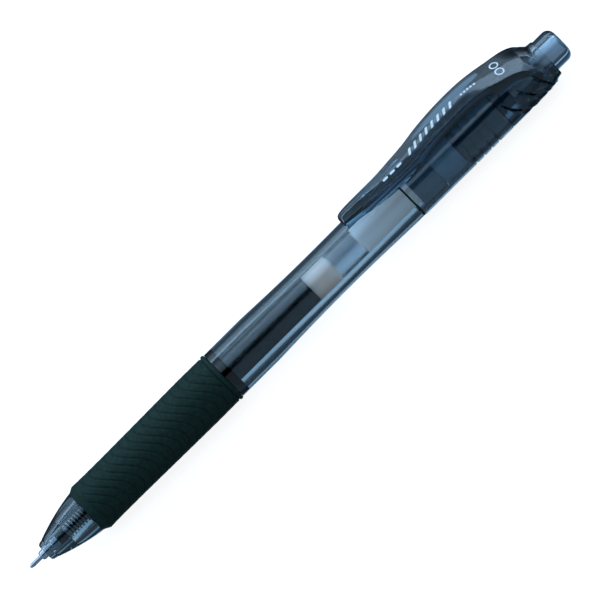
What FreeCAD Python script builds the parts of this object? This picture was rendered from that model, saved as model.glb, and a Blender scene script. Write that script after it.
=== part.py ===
import FreeCAD, Part
import math
import os
import Sketcher

# A retractable gel pen with its tip out. Every sub-part is drawn in the pen's own frame: x runs along the
# axis from the writing ball (x = 0) to the push button, and the clip points up (+Z). Each sub-part's
# Placement then puts the pen's middle over the origin and its lowest bead on z = 0.

os.makedirs("parts", exist_ok=True)
doc = FreeCAD.newDocument("gel_pen")

# Driving dimensions, in millimetres (the counts are plain numbers). Names that end in _at are places along
# the axis, and those that end in _rad are radii.
SIZES = {
    "overall": 146.0,
    "bead_rad": 5.76,
    "press_travel": 0.9,
    # front barrel
    "nose_at": 4.14,
    "nose_rad": 1.85,
    "nose_ring_at": 5.41,
    "nose_ring_rad": 2.30,
    "nose_curve_rad": 48.0,
    "grip_at": 15.5,
    "cone_rad": 4.90,
    "seat_rad": 4.45,
    "grip_end_at": 53.1,
    "hold_rad": 5.53,
    "hold_end_at": 63.1,
    "waist_rad": 5.12,
    "waist_curve_rad": 423.0,
    "waist_start_at": 66.4,
    "waist_end_at": 94.0,
    "seam_at": 103.0,
    "seam_rad": 5.47,
    "neck_rad": 4.72,
    "neck_end_at": 110.5,
    "tip_bore_rad": 1.08,
    "tip_chamber_at": 5.25,
    "tip_chamber_rad": 1.45,
    "spring_bore_at": 9.88,
    "spring_bore_rad": 2.80,
    "refill_bore_at": 23.0,
    "refill_bore_rad": 3.30,
    "barrel_bore_at": 54.9,
    "barrel_bore_rad": 4.08,
    # grip
    "grip_wall_gap": 0.04,
    "grip_front_rad": 5.48,
    "grip_rear_rad": 5.64,
    "grip_groove_pitch": 2.0,
    "grip_groove_depth": 0.22,
    # rear barrel and cap
    "seam_ring_width": 0.4,
    "rear_rad": 5.56,
    "rear_bore_rad": 4.80,
    "cap_at": 127.7,
    "spigot_at": 116.3,
    "spigot_rad": 4.75,
    "spigot_bore_rad": 4.06,
    "rib_at": 117.6,
    "rib_pitch": 2.04,
    "cap_end_at": 141.6,
    "cap_rim_rad": 4.70,
    "cap_bore_at": 138.9,
    "button_bore_rad": 3.81,
    "scale_at": 128.4,
    "scale_pitch": 4.1,
    "scale_tilt": 36.9,
    "scale_depth": 0.32,
    "scale_line": 0.45,
    "scale_reach": 16.0,
    "scale_top": 3.4,
    # push button, plunger, rotor and guide
    "button_rad": 3.72,
    "button_flange_rad": 3.95,
    "button_at": 131.5,
    "button_corner": 1.7,
    "core_rad": 1.77,
    "core_end_at": 145.2,
    "plunger_at": 116.6,
    "plunger_rad": 2.62,
    "rotor_at": 108.05,
    "rotor_end_at": 116.5,
    "rotor_rad": 2.62,
    "rib_top_rad": 3.12,
    "rib_width": 1.2,
    "tooth_depth": 0.8,
    "guide_at": 104.7,
    "guide_end_at": 127.0,
    "guide_rad": 4.0,
    "guide_flange_rad": 4.70,
    "guide_bore_rad": 3.25,
    "land_at": 116.75,
    "land_rad": 2.74,
    "groove_width": 1.5,
    # refill
    "ball_rad": 0.27,
    "lip_at": 0.16,
    "lip_rad": 0.262,
    "needle_bore_rad": 0.285,
    "needle_cone_at": 0.75,
    "needle_rad": 0.48,
    "needle_end_at": 6.0,
    "shell_at": 2.93,
    "shell_face_rad": 0.66,
    "shell_rad": 1.0,
    "shell_shoulder_at": 3.4,
    "shell_body_at": 6.45,
    "shell_body_rad": 1.2,
    "shell_step_at": 7.9,
    "shell_spigot_rad": 0.78,
    "shell_end_at": 10.0,
    "ink_way_rad": 0.40,
    "holder_rad": 1.3,
    "holder_neck_at": 9.85,
    "holder_neck_rad": 1.22,
    "holder_flange_at": 25.0,
    "holder_end_at": 31.0,
    "holder_bore_rad": 0.6,
    "tube_at": 27.5,
    "tube_rad": 3.0,
    "tube_bore_rad": 2.6,
    "tube_end_at": 91.0,
    "ink_end_at": 77.1,
    "follower_end_at": 83.1,
    "tail_end_at": 108.0,
    "tail_bore_rad": 2.1,
    "boss_rad": 1.98,
    "boss_at": 105.5,
    # springs
    "spring_at": 9.9,
    "spring_wire_rad": 0.15,
    "spring_coil_rad": 1.55,
    "spring_pitch": 0.718,
    "ball_spring_at": 0.62,
    "ball_spring_end_at": 5.6,
    "ball_spring_wire_rad": 0.035,
    "ball_spring_coil_rad": 0.20,
    "ball_spring_pitch": 0.42,
    # clip
    "clip_at": 90.4,
    "clip_hinge_at": 129.0,
    "clip_root_gap": 0.25,
    "clip_half_width": 3.06,
    "clip_tip_half_width": 1.55,
    "clip_barrel_gap": 0.12,
    "hood_end_at": 140.6,
}

sheet = doc.addObject("Spreadsheet::Sheet", "sizes")
for row, (alias, value) in enumerate(SIZES.items(), start=1):
    sheet.set(f"A{row}", alias)
    sheet.set(f"B{row}", str(value))
    sheet.setAlias(f"B{row}", alias)
doc.recompute()


class Dim:
    """A size as a number together with the sheet expression that gives it."""

    def __init__(self, value, text):
        self.value = value
        self.text = text

    def __add__(self, other):
        other = as_dim(other)
        return Dim(self.value + other.value, f"({self.text} + {other.text})")

    def __sub__(self, other):
        other = as_dim(other)
        return Dim(self.value - other.value, f"({self.text} - {other.text})")

    def __mul__(self, other):
        other = as_dim(other)
        return Dim(self.value * other.value, f"({self.text} * {other.text})")

    def __neg__(self):
        return as_dim(0) - self


def as_dim(number):
    """Wrap a plain number, and leave a Dim as it is."""
    if isinstance(number, Dim):
        return number
    return Dim(float(number), repr(float(number)))


class Sizes:
    """Gives each row of the sheet as a Dim, by its name."""

    def __getattr__(self, alias):
        return Dim(float(sheet.get(alias)), f"sizes.{alias}")


s = Sizes()
to_origin = (s.overall * -0.5, s.bead_rad)


def place(piece):
    """Move a finished sub-part from the pen's own frame to the part's frame."""
    along, up = to_origin
    piece.setExpression("Placement.Base.x", along.text)
    piece.setExpression("Placement.Base.z", up.text)


def origin_plane(body, role):
    """The body's own origin plane with this role."""
    return [item for item in body.Origin.OriginFeatures if item.Role == role][0]


def arc(radius, side):
    """An outline entry that bends the next edge: side +1 bulges to the left of its direction, -1 right."""
    return ("arc", radius, side)


def arc_through(start, end, radius, side):
    """The anticlockwise arc between two corners, whose centre lies to the right (+1) or left (-1)."""
    chord = end - start
    middle = (start + end) * 0.5
    left = FreeCAD.Vector(-chord.y, chord.x, 0).normalize()
    centre = middle - left * side * math.sqrt(radius**2 - chord.Length**2 / 4)
    first, last = (end, start) if side > 0 else (start, end)
    angles = [math.atan2(point.y - centre.y, point.x - centre.x) for point in (first, last)]
    if angles[1] < angles[0]:
        angles[1] += 2 * math.pi
    return Part.ArcOfCircle(Part.Circle(centre, FreeCAD.Vector(0, 0, 1), radius), *angles)


def draw(body, name, outlines, role="XZ_Plane", offset=None):
    """A sketch of closed outlines, each corner pinned by two distances that come from the sheet."""
    sketch = body.newObject("Sketcher::SketchObject", name)
    sketch.AttachmentSupport = [(origin_plane(body, role), "")]
    sketch.MapMode = "FlatFace"
    if offset is not None:
        sketch.setExpression("AttachmentOffset.Base.z", offset.text)
    for outline in outlines:
        draw_outline(sketch, outline)
    return sketch


def draw_outline(sketch, outline):
    """One closed outline: corners as (Dim, Dim), with arc() entries before the corner they lead to."""
    corners = [item for item in outline if item[0] != "arc"]
    bends = {}
    reached = 0
    for item in outline:
        if item[0] == "arc":
            bends[reached - 1] = item
        else:
            reached += 1
    points = [FreeCAD.Vector(as_dim(x).value, as_dim(y).value, 0) for x, y in corners]
    ends = []
    for index, start in enumerate(points):
        end = points[(index + 1) % len(points)]
        if index in bends:
            radius, side = bends[index][1:]
            edge = sketch.addGeometry(arc_through(start, end, radius.value, side), False)
            ends.append((edge, 2, 1) if side > 0 else (edge, 1, 2))
            rule = sketch.addConstraint(Sketcher.Constraint("Radius", edge, radius.value))
            sketch.setExpression(f"Constraints[{rule}]", radius.text)
        else:
            ends.append((sketch.addGeometry(Part.LineSegment(start, end), False), 1, 2))
    for index, (edge, first, _) in enumerate(ends):
        before, _, last = ends[index - 1]
        sketch.addConstraint(Sketcher.Constraint("Coincident", before, last, edge, first))
        for kind, size in zip(("DistanceX", "DistanceY"), corners[index]):
            pin(sketch, kind, edge, first, as_dim(size))


def pin(sketch, kind, edge, end, size):
    """Fix one coordinate of a corner, counted from the sketch's origin."""
    if size.text == "0.0":
        axis = -1 if kind == "DistanceY" else -2
        sketch.addConstraint(Sketcher.Constraint("PointOnObject", edge, end, axis))
        return
    rule = sketch.addConstraint(Sketcher.Constraint(kind, -1, 1, edge, end, size.value))
    sketch.setExpression(f"Constraints[{rule}]", size.text)


def new_body(label):
    body = doc.addObject("PartDesign::Body", label)
    body.Label = label
    return body


def turn_round(body, name, outline, kind="PartDesign::Revolution"):
    """Revolve (or, as a PartDesign::Groove, cut away) an outline of (x, radius) corners about the axis."""
    sketch = draw(body, name + "_profile", [outline])
    feature = body.newObject(kind, name)
    feature.Profile = sketch
    feature.ReferenceAxis = (sketch, ["H_Axis"])
    feature.Angle = 360
    doc.recompute()
    return feature


def pad(body, name, outlines, length, role="XZ_Plane", offset=None, both_sides=True, flip=False):
    """Extrude outlines to both sides of their plane, or to one."""
    feature = body.newObject("PartDesign::Pad", name)
    return extrude(feature, draw(body, name + "_profile", outlines, role, offset), length, both_sides, flip)


def pocket(body, name, outlines, length, role="XZ_Plane", offset=None, both_sides=True, flip=False):
    """Cut outlines into the body, and make sure that something was cut."""
    before = body.Shape.Volume
    sketch = draw(body, name + "_profile", outlines, role, offset)
    feature = extrude(body.newObject("PartDesign::Pocket", name), sketch, length, both_sides, flip)
    if not feature.Shape.Volume < before - 1e-6:
        raise RuntimeError(f"{name} cuts nothing")
    return feature


def extrude(feature, sketch, length, both_sides, flip):
    feature.Profile = sketch
    feature.Type = "Length"
    feature.SideType = "Symmetric" if both_sides else "One side"
    feature.Reversed = flip
    feature.setExpression("Length", as_dim(length).text)
    doc.recompute()
    return feature


def repeat_round(body, name, feature, count):
    """Repeat a feature evenly round the pen's axis."""
    pattern = body.newObject("PartDesign::PolarPattern", name)
    pattern.Originals = [feature]
    pattern.Axis = (feature.Profile[0], ["H_Axis"])
    pattern.Angle = 360
    pattern.Occurrences = count
    body.Tip = pattern
    doc.recompute()
    return pattern


def repeat_along(body, name, feature, pitch, count):
    """Repeat a feature along the pen's axis."""
    pattern = body.newObject("PartDesign::LinearPattern", name)
    pattern.Originals = [feature]
    pattern.Direction = (feature.Profile[0], ["H_Axis"])
    pattern.Mode = "Extent"
    pattern.setExpression("Length", (pitch * (count - 1)).text)
    pattern.Occurrences = count
    body.Tip = pattern
    doc.recompute()
    return pattern


def ring_outline(start, end, inner, outer):
    """A plain tube's profile, as corners of (x, radius)."""
    return [(start, inner), (end, inner), (end, outer), (start, outer)]


# ---- outer shell -------------------------------------------------------------------------------------


def make_front_barrel():
    """Clear barrel in one with its nose cone: tip bore, spring chamber, refill bore and rear neck."""
    body = new_body("front_barrel")
    turn_round(
        body,
        "barrel_shell",
        [
            (s.nose_at, s.tip_bore_rad),
            (s.nose_at, s.nose_rad),
            (s.nose_at + 0.35, s.nose_rad + 0.28),
            (s.nose_ring_at, s.nose_ring_rad),
            arc(s.nose_curve_rad, 1),
            (s.grip_at, s.cone_rad),
            (s.grip_at, s.seat_rad),
            (s.grip_end_at, s.seat_rad),
            (s.grip_end_at, s.hold_rad),
            (s.hold_end_at, s.hold_rad),
            (s.waist_start_at, s.waist_rad + 0.30),
            arc(s.waist_curve_rad, -1),
            (s.waist_end_at, s.waist_rad + 0.15),
            (s.seam_at - 2.0, s.seam_rad),
            (s.seam_at, s.seam_rad),
            (s.seam_at, s.neck_rad),
            (s.neck_end_at, s.neck_rad),
            (s.neck_end_at, s.barrel_bore_rad),
            (s.barrel_bore_at, s.barrel_bore_rad),
            (s.barrel_bore_at, s.refill_bore_rad),
            (s.refill_bore_at, s.refill_bore_rad),
            (s.refill_bore_at, s.spring_bore_rad),
            (s.spring_bore_at, s.spring_bore_rad),
            (s.spring_bore_at, s.tip_chamber_rad),
            (s.tip_chamber_at, s.tip_chamber_rad),
            (s.tip_chamber_at, s.tip_bore_rad),
        ],
    )
    place(body)
    return body


def make_grip_sleeve():
    """Soft sleeve with fine grooves round it and a raised bead at its rear end."""
    body = new_body("grip_sleeve")
    inner = s.seat_rad + s.grip_wall_gap
    bead_at = s.grip_end_at - 0.85
    turn_round(
        body,
        "grip_shell",
        [
            (s.grip_at, inner),
            (s.grip_at, s.cone_rad),
            (s.grip_at + 1.2, s.grip_front_rad),
            (bead_at - 4.0, s.grip_rear_rad),
            (bead_at, s.grip_rear_rad - 0.03),
            (bead_at, s.bead_rad - 0.3),
            (bead_at + 0.25, s.bead_rad),
            (s.grip_end_at - 0.2, s.bead_rad),
            (s.grip_end_at, s.bead_rad - 0.2),
            (s.grip_end_at, inner),
        ],
    )
    first = s.grip_at + 3.0
    groove = turn_round(
        body,
        "grip_groove",
        [
            (first - 0.3, s.bead_rad),
            (first - 0.12, s.grip_front_rad - s.grip_groove_depth),
            (first + 0.12, s.grip_front_rad - s.grip_groove_depth),
            (first + 0.3, s.bead_rad),
        ],
        "PartDesign::Groove",
    )
    repeat_along(body, "grip_grooves", groove, s.grip_groove_pitch, 16)
    place(body)
    return body


def make_seam_ring():
    """Thin ring between the two barrels."""
    body = new_body("seam_ring")
    inner = s.neck_rad + 0.03
    turn_round(body, "ring", ring_outline(s.seam_at, s.seam_at + s.seam_ring_width, inner, s.seam_rad))
    place(body)
    return body


def make_rear_barrel():
    """Clear rear barrel, a plain tube with four fine ring grooves."""
    body = new_body("rear_barrel")
    start = s.seam_at + s.seam_ring_width
    turn_round(
        body,
        "rear_shell",
        [
            (start, s.rear_bore_rad),
            (start, s.rear_rad - 0.06),
            (start + 0.3, s.rear_rad),
            (s.cap_at - 0.2, s.rear_rad),
            (s.cap_at - 0.05, s.rear_rad - 0.12),
            (s.cap_at - 0.05, s.rear_bore_rad),
        ],
    )
    groove = turn_round(
        body,
        "ring_groove",
        [
            (s.rib_at - 0.22, s.bead_rad),
            (s.rib_at, s.rear_rad - 0.22),
            (s.rib_at + 0.22, s.bead_rad),
        ],
        "PartDesign::Groove",
    )
    repeat_along(body, "ring_grooves", groove, s.rib_pitch, 4)
    place(body)
    return body


def hood_section(half_width, top, edge_drop):
    """One cross-section of the clip's root: straight sides and a crowned top, as (y, z) corners."""
    low = as_dim(3.0)
    edge = top - edge_drop
    crown_rad = (half_width * half_width + edge_drop * edge_drop) * Dim(
        1 / (2 * edge_drop.value), f"(1 / (2 * {edge_drop.text}))"
    )
    return [
        (-half_width, low),
        (half_width, low),
        (half_width, edge),
        arc(crown_rad, -1),
        (-half_width, edge),
    ]


def make_end_cap():
    """Cap with the clip's hooded root, the button's bore and three sloped steps round its underside."""
    body = doc.addObject("PartDesign::Body", "cap_shell")
    turn_round(
        body,
        "cap_turned",
        [
            (s.spigot_at, 0),
            (s.spigot_at, s.spigot_rad),
            (s.cap_at, s.spigot_rad),
            (s.cap_at, s.rear_rad),
            (s.cap_bore_at, s.rear_rad - 0.15),
            (s.cap_end_at - 1.3, s.rear_rad - 0.4),
            (s.cap_end_at - 1.1, s.cap_rim_rad),
            (s.cap_end_at, s.cap_rim_rad - 0.1),
            (s.cap_end_at, 0),
        ],
    )
    root_at = s.clip_hinge_at + s.clip_root_gap * 0.5
    stations = [
        (root_at, s.clip_half_width + 0.1, 8.6, 0.35),
        (root_at + 3.0, s.clip_half_width + 0.5, 7.6, 0.6),
        (root_at + 6.0, s.clip_half_width + 0.85, 6.6, 0.9),
        (root_at + 9.0, s.clip_half_width + 1.15, 5.7, 1.5),
        (s.hood_end_at, s.clip_half_width + 0.85, 4.7, 1.65),
    ]
    sections = [
        draw(body, f"hood_{number}", [hood_section(width, as_dim(top), as_dim(drop))], "YZ_Plane", at)
        for number, (at, width, top, drop) in enumerate(stations, start=1)
    ]
    doc.recompute()
    hood = body.newObject("PartDesign::AdditiveLoft", "hood")
    hood.Profile = sections[0]
    hood.Sections = sections[1:]
    doc.recompute()
    bore = [
        (s.spigot_at - 1.0, 0),
        (s.spigot_at - 1.0, s.spigot_bore_rad),
        (s.cap_bore_at, s.spigot_bore_rad),
        (s.cap_bore_at, s.button_bore_rad),
        (s.overall, s.button_bore_rad),
        (s.overall, 0),
    ]
    turn_round(body, "cap_bore", bore, "PartDesign::Groove")

    plates = [scale_plate(number) for number in range(3)]
    joined = doc.addObject("Part::MultiFuse", "scale_plates")
    joined.Shapes = plates
    core = doc.addObject("Part::Cylinder", "scale_core")
    core.setExpression("Radius", (s.rear_rad - s.scale_depth).text)
    core.setExpression("Height", s.overall.text)
    core.Placement.Rotation = FreeCAD.Rotation(FreeCAD.Vector(0, 1, 0), 90)
    cutter = doc.addObject("Part::Cut", "scale_cutter")
    cutter.Base = joined
    cutter.Tool = core
    cap = doc.addObject("Part::Cut", "end_cap")
    cap.Base = body
    cap.Tool = cutter
    place(cap)
    return cap


def scale_plate(number):
    """A thin sloped plate that marks where one of the cap's steps starts."""
    plate = doc.addObject("Part::Box", f"scale_plate_{number + 1}")
    plate.setExpression("Length", s.scale_line.text)
    plate.setExpression("Width", s.scale_reach.text)
    plate.setExpression("Height", s.scale_reach.text)
    plate.Placement.Rotation = FreeCAD.Rotation(FreeCAD.Vector(0, 1, 0), 90)
    plate.setExpression("Placement.Rotation.Angle", f"(180 - {s.scale_tilt.text}) * 1 deg")
    plate.setExpression("Placement.Base.x", (s.scale_at + s.scale_pitch * number).text)
    plate.setExpression("Placement.Base.y", (s.scale_reach * -0.5).text)
    plate.setExpression("Placement.Base.z", s.scale_top.text)
    return plate


def make_clip_arm():
    """The clip's arm: an arched bar that narrows to its free end and just clears the barrel."""
    body = new_body("clip_arm")
    root = s.clip_hinge_at - s.clip_root_gap * 0.5
    side = [
        (s.clip_at, 7.6),
        (s.clip_at + 0.6, 8.25),
        (s.clip_at + 1.8, 8.36),
        (s.clip_at + 11.4, 7.72),
        arc(as_dim(40.0), -1),
        (s.clip_at + 18.0, 7.95),
        (s.clip_at + 24.0, 9.08),
        arc(as_dim(40.0), 1),
        (s.clip_at + 35.0, 9.51),
        (root, 8.6),
        (root, 6.4),
        (s.clip_at + 34.5, 7.1),
        arc(as_dim(24.0), -1),
        (s.clip_at + 26.0, 6.95),
        (s.clip_at + 19.0, 5.55),
        arc(as_dim(30.0), 1),
        (s.clip_at + 9.6, 5.0),
        (s.clip_at + 1.0, 6.1),
        (s.clip_at, 6.7),
    ]
    pad(body, "clip_side", [side], s.clip_half_width * 2.0)
    outer = s.clip_half_width + 1.0
    flank = [
        (s.clip_at - 1.0, s.clip_tip_half_width - 0.7),
        (s.clip_at, s.clip_tip_half_width - 0.35),
        (s.clip_at + 0.8, s.clip_tip_half_width),
        (s.clip_at + 14.0, s.clip_half_width - 0.38),
        (s.clip_at + 26.0, s.clip_half_width),
        (s.clip_at + 26.0, outer),
        (s.clip_at - 1.0, outer),
    ]
    mirrored = [(x, -y) for x, y in flank]
    pocket(body, "clip_flanks", [flank, mirrored], 40.0, "XY_Plane")
    clear = s.rear_rad + s.clip_barrel_gap
    channel = [
        (s.clip_at - 1.0, 0),
        (s.clip_at - 1.0, clear),
        (s.clip_hinge_at + 2.0, clear),
        (s.clip_hinge_at + 2.0, 0),
    ]
    turn_round(body, "clip_channel", channel, "PartDesign::Groove")
    place(body)
    return body


# ---- push mechanism ----------------------------------------------------------------------------------


def make_knock_button():
    """Clear push button with a retaining flange and a blind bore for the plunger's stem."""
    body = new_body("knock_button")
    corner_at = s.overall - s.button_corner
    turn_round(
        body,
        "button_turned",
        [
            (s.button_at, s.core_rad + 0.03),
            (s.button_at, s.button_flange_rad),
            (s.button_at + 1.5, s.button_flange_rad),
            (s.button_at + 1.5, s.button_rad),
            (corner_at, s.button_rad),
            arc(s.button_corner, 1),
            (s.overall, s.button_rad - s.button_corner),
            (s.overall, 0),
            (s.core_end_at + 0.05, 0),
            (s.core_end_at + 0.05, s.core_rad + 0.03),
        ],
    )
    place(body)
    return body


def add_ribs(body, start, end):
    """Four ribs that run in the guide's grooves."""
    rib = pad(body, "rib", [ring_outline(start, end, s.rotor_rad - 0.4, s.rib_top_rad)], s.rib_width)
    repeat_round(body, "ribs", rib, 4)


def cut_teeth(body, root, tip):
    """Eight saw teeth on an end face, from their roots to their tips along the axis."""
    half_pitch = s.rotor_rad * (math.pi / 8)
    notch = [(tip, -half_pitch), (root, half_pitch), (tip, half_pitch)]
    tooth = pocket(body, "tooth_gap", [notch], 8.0, "XY_Plane", both_sides=False, flip=True)
    repeat_round(body, "tooth_gaps", tooth, 8)


def make_cam_plunger():
    """Plunger that the button pushes: toothed crown, four ribs and the stem that shows in the button."""
    body = new_body("cam_plunger")
    turn_round(
        body,
        "plunger_turned",
        [
            (s.plunger_at, 1.5),
            (s.plunger_at, s.plunger_rad),
            (s.button_at - 0.05, s.plunger_rad),
            (s.button_at - 0.05, s.core_rad),
            (s.core_end_at, s.core_rad),
            (s.core_end_at, 0),
            (s.button_at - 2.0, 0),
            (s.button_at - 2.0, 1.5),
        ],
    )
    cut_teeth(body, s.plunger_at + s.tooth_depth, s.plunger_at)
    add_ribs(body, s.plunger_at + 1.6, s.plunger_at + 5.0)
    place(body)
    return body


def make_cam_rotor():
    """Turning cam that latches the refill: a boss in the refill's tail, four ribs and a toothed crown."""
    body = new_body("cam_rotor")
    turn_round(
        body,
        "rotor_turned",
        [
            (s.boss_at, 0.8),
            (s.boss_at, s.boss_rad),
            (s.rotor_at, s.boss_rad),
            (s.rotor_at, s.rotor_rad),
            (s.rotor_end_at, s.rotor_rad),
            (s.rotor_end_at, 0.8),
        ],
    )
    cut_teeth(body, s.rotor_end_at - s.tooth_depth, s.rotor_end_at)
    add_ribs(body, s.rotor_end_at - 4.2, s.rotor_end_at - 1.0)
    place(body)
    return body


def make_cam_guide():
    """Guide tube fixed in the rear barrel, with a wide chamber and four grooves between its lands."""
    body = new_body("cam_guide")
    turn_round(
        body,
        "guide_turned",
        [
            (s.guide_at, s.guide_bore_rad),
            (s.guide_at, s.guide_rad),
            (s.neck_end_at + 0.1, s.guide_rad),
            (s.neck_end_at + 0.1, s.guide_flange_rad),
            (s.spigot_at - 0.1, s.guide_flange_rad),
            (s.spigot_at - 0.1, s.guide_rad),
            (s.guide_end_at, s.guide_rad),
            (s.guide_end_at, s.land_rad),
            (s.land_at, s.land_rad),
            (s.land_at, s.guide_bore_rad),
        ],
    )
    slot = ring_outline(s.land_at - 1.0, s.guide_end_at + 1.0, s.land_rad - 1.0, s.guide_bore_rad)
    groove = pocket(body, "guide_groove", [slot], s.groove_width)
    repeat_round(body, "guide_grooves", groove, 4)
    place(body)
    return body


# ---- refill ------------------------------------------------------------------------------------------


def make_tip_ball():
    """The writing ball, which stands a little out of the needle's lip."""
    ball = doc.addObject("Part::Sphere", "tip_ball")
    ball.setExpression("Radius", s.ball_rad.text)
    ball.setExpression("Placement.Base.x", (s.overall * -0.5 + s.ball_rad).text)
    ball.setExpression("Placement.Base.z", s.bead_rad.text)
    return ball


def make_needle_tube():
    """Steel needle whose turned-in lip holds the ball."""
    body = new_body("needle_tube")
    turn_round(
        body,
        "needle_turned",
        [
            (s.lip_at, s.lip_rad),
            (s.lip_at, s.lip_rad + 0.05),
            (s.needle_cone_at, s.needle_rad),
            (s.needle_end_at, s.needle_rad),
            (s.needle_end_at, s.needle_bore_rad),
            (s.ball_rad, s.needle_bore_rad),
        ],
    )
    place(body)
    return body


def make_tip_shell():
    """Steel shoulder that holds the needle and plugs into the holder."""
    body = new_body("tip_shell")
    turn_round(
        body,
        "shell_turned",
        [
            (s.shell_at, s.needle_rad + 0.01),
            (s.shell_at, s.shell_face_rad),
            (s.shell_shoulder_at, s.shell_rad),
            (s.shell_body_at - 0.2, s.shell_rad),
            (s.shell_body_at, s.shell_body_rad),
            (s.shell_step_at, s.shell_body_rad),
            (s.shell_step_at, s.shell_spigot_rad),
            (s.shell_end_at, s.shell_spigot_rad),
            (s.shell_end_at, s.ink_way_rad),
            (s.needle_end_at + 0.02, s.ink_way_rad),
            (s.needle_end_at + 0.02, s.needle_rad + 0.01),
        ],
    )
    place(body)
    return body


def make_tip_holder():
    """Plastic holder: slim front inside the spring, a flange the spring pushes on, a plug into the tube."""
    body = new_body("tip_holder")
    front = s.shell_step_at + 0.02
    turn_round(
        body,
        "holder_turned",
        [
            (front, s.shell_spigot_rad + 0.01),
            (front, s.holder_rad),
            (s.holder_neck_at - 0.1, s.holder_rad),
            (s.holder_neck_at, s.holder_neck_rad),
            (s.holder_flange_at, s.holder_neck_rad),
            (s.holder_flange_at, s.tube_rad - 0.4),
            (s.holder_flange_at + 0.6, s.tube_rad),
            (s.tube_at - 0.02, s.tube_rad),
            (s.tube_at - 0.02, s.tube_bore_rad - 0.02),
            (s.holder_end_at, s.tube_bore_rad - 0.02),
            (s.holder_end_at, s.holder_bore_rad),
            (s.shell_end_at + 0.05, s.holder_bore_rad),
            (s.shell_end_at + 0.05, s.shell_spigot_rad + 0.01),
        ],
    )
    place(body)
    return body


def make_refill_tube():
    """Clear tube that holds the ink."""
    body = new_body("refill_tube")
    turn_round(body, "tube", ring_outline(s.tube_at, s.tube_end_at, s.tube_bore_rad, s.tube_rad))
    place(body)
    return body


def make_ink_column():
    """Gel ink in the tube and in the holder's narrow way."""
    body = new_body("ink_column")
    fill = s.tube_bore_rad - 0.02
    thread = s.holder_bore_rad - 0.02
    turn_round(
        body,
        "ink",
        [
            (s.shell_end_at + 0.3, 0),
            (s.shell_end_at + 0.3, thread),
            (s.holder_end_at + 0.05, thread),
            (s.holder_end_at + 0.05, fill),
            (s.ink_end_at, fill),
            (s.ink_end_at + 0.5, fill - 1.4),
            (s.ink_end_at + 0.5, 0),
        ],
    )
    place(body)
    return body


def make_ink_follower():
    """Plug of follower grease that closes the ink off behind."""
    body = new_body("ink_follower")
    fill = s.tube_bore_rad - 0.02
    turn_round(
        body,
        "grease",
        [
            (s.ink_end_at + 0.52, 0),
            (s.ink_end_at + 0.52, fill - 1.4),
            (s.ink_end_at + 0.02, fill),
            (s.follower_end_at, fill),
            (s.follower_end_at - 0.4, fill - 1.2),
            (s.follower_end_at - 0.4, 0),
        ],
    )
    place(body)
    return body


def make_refill_tail():
    """Frosted tail piece with a spigot in the tube, open for the rotor's boss."""
    body = new_body("refill_tail")
    turn_round(
        body,
        "tail",
        [
            (s.tube_end_at - 1.6, s.tail_bore_rad),
            (s.tube_end_at - 1.6, s.tube_bore_rad - 0.25),
            (s.tube_end_at - 1.2, s.tube_bore_rad - 0.02),
            (s.tube_end_at + 0.02, s.tube_bore_rad - 0.02),
            (s.tube_end_at + 0.02, s.tube_rad),
            (s.tail_end_at, s.tube_rad),
            (s.tail_end_at, s.tail_bore_rad),
        ],
    )
    place(body)
    return body


def make_spring(label, start, end, coil, wire, pitch):
    """A compression spring wound round the axis, swept along a helix."""
    helix = doc.addObject("Part::Helix", label + "_path")
    helix.setExpression("Pitch", pitch.text)
    helix.setExpression("Height", (end - start).text)
    helix.setExpression("Radius", coil.text)
    section = doc.addObject("Part::Circle", label + "_wire")
    section.setExpression("Radius", wire.text)
    section.Placement.Rotation = FreeCAD.Rotation(FreeCAD.Vector(1, 0, 0), 90)
    section.setExpression("Placement.Base.x", coil.text)
    spring = doc.addObject("Part::Sweep", label)
    spring.Sections = [section]
    spring.Spine = (helix, ["Edge1"])
    spring.Solid = True
    spring.Frenet = True
    spring.Placement.Rotation = FreeCAD.Rotation(FreeCAD.Vector(0, 1, 0), 90)
    spring.setExpression("Placement.Base.x", (s.overall * -0.5 + start).text)
    spring.setExpression("Placement.Base.z", s.bead_rad.text)
    return spring


SPRINGS = {
    "return_spring": (
        s.spring_at + s.spring_wire_rad,
        s.holder_flange_at - s.spring_wire_rad - 0.05,
        s.spring_coil_rad,
        s.spring_wire_rad,
        s.spring_pitch,
    ),
    "ball_spring": (
        s.ball_spring_at,
        s.ball_spring_end_at,
        s.ball_spring_coil_rad,
        s.ball_spring_wire_rad,
        s.ball_spring_pitch,
    ),
}

pieces = [
    make_front_barrel(),
    make_grip_sleeve(),
    make_seam_ring(),
    make_rear_barrel(),
    make_end_cap(),
    make_clip_arm(),
    make_knock_button(),
    make_cam_plunger(),
    make_cam_rotor(),
    make_cam_guide(),
    make_tip_ball(),
    make_needle_tube(),
    make_tip_shell(),
    make_tip_holder(),
    make_refill_tube(),
    make_ink_column(),
    make_ink_follower(),
    make_refill_tail(),
]
pieces += [make_spring(label, *sizes) for label, sizes in SPRINGS.items()]
doc.recompute()

broken = [item.Name for item in doc.Objects if {"Invalid", "Error"} & set(item.State)]
if broken:
    raise RuntimeError(f"failed objects: {broken}")
for piece in pieces:
    if piece.Shape.isNull() or not piece.Shape.isValid() or not piece.Shape.Solids:
        raise RuntimeError(f"{piece.Label} has no valid solid")
for piece in pieces:
    piece.Shape.exportStep(f"parts/{piece.Label}.step")
    box = piece.Shape.BoundBox
    print(f"{piece.Label}: {piece.Shape.Volume:.2f} mm3, x {box.XMin:.2f} to {box.XMax:.2f},"
          f" z {box.ZMin:.2f} to {box.ZMax:.2f}")
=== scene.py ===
import math

import bmesh
import bpy
from mathutils import Matrix, Vector


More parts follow.
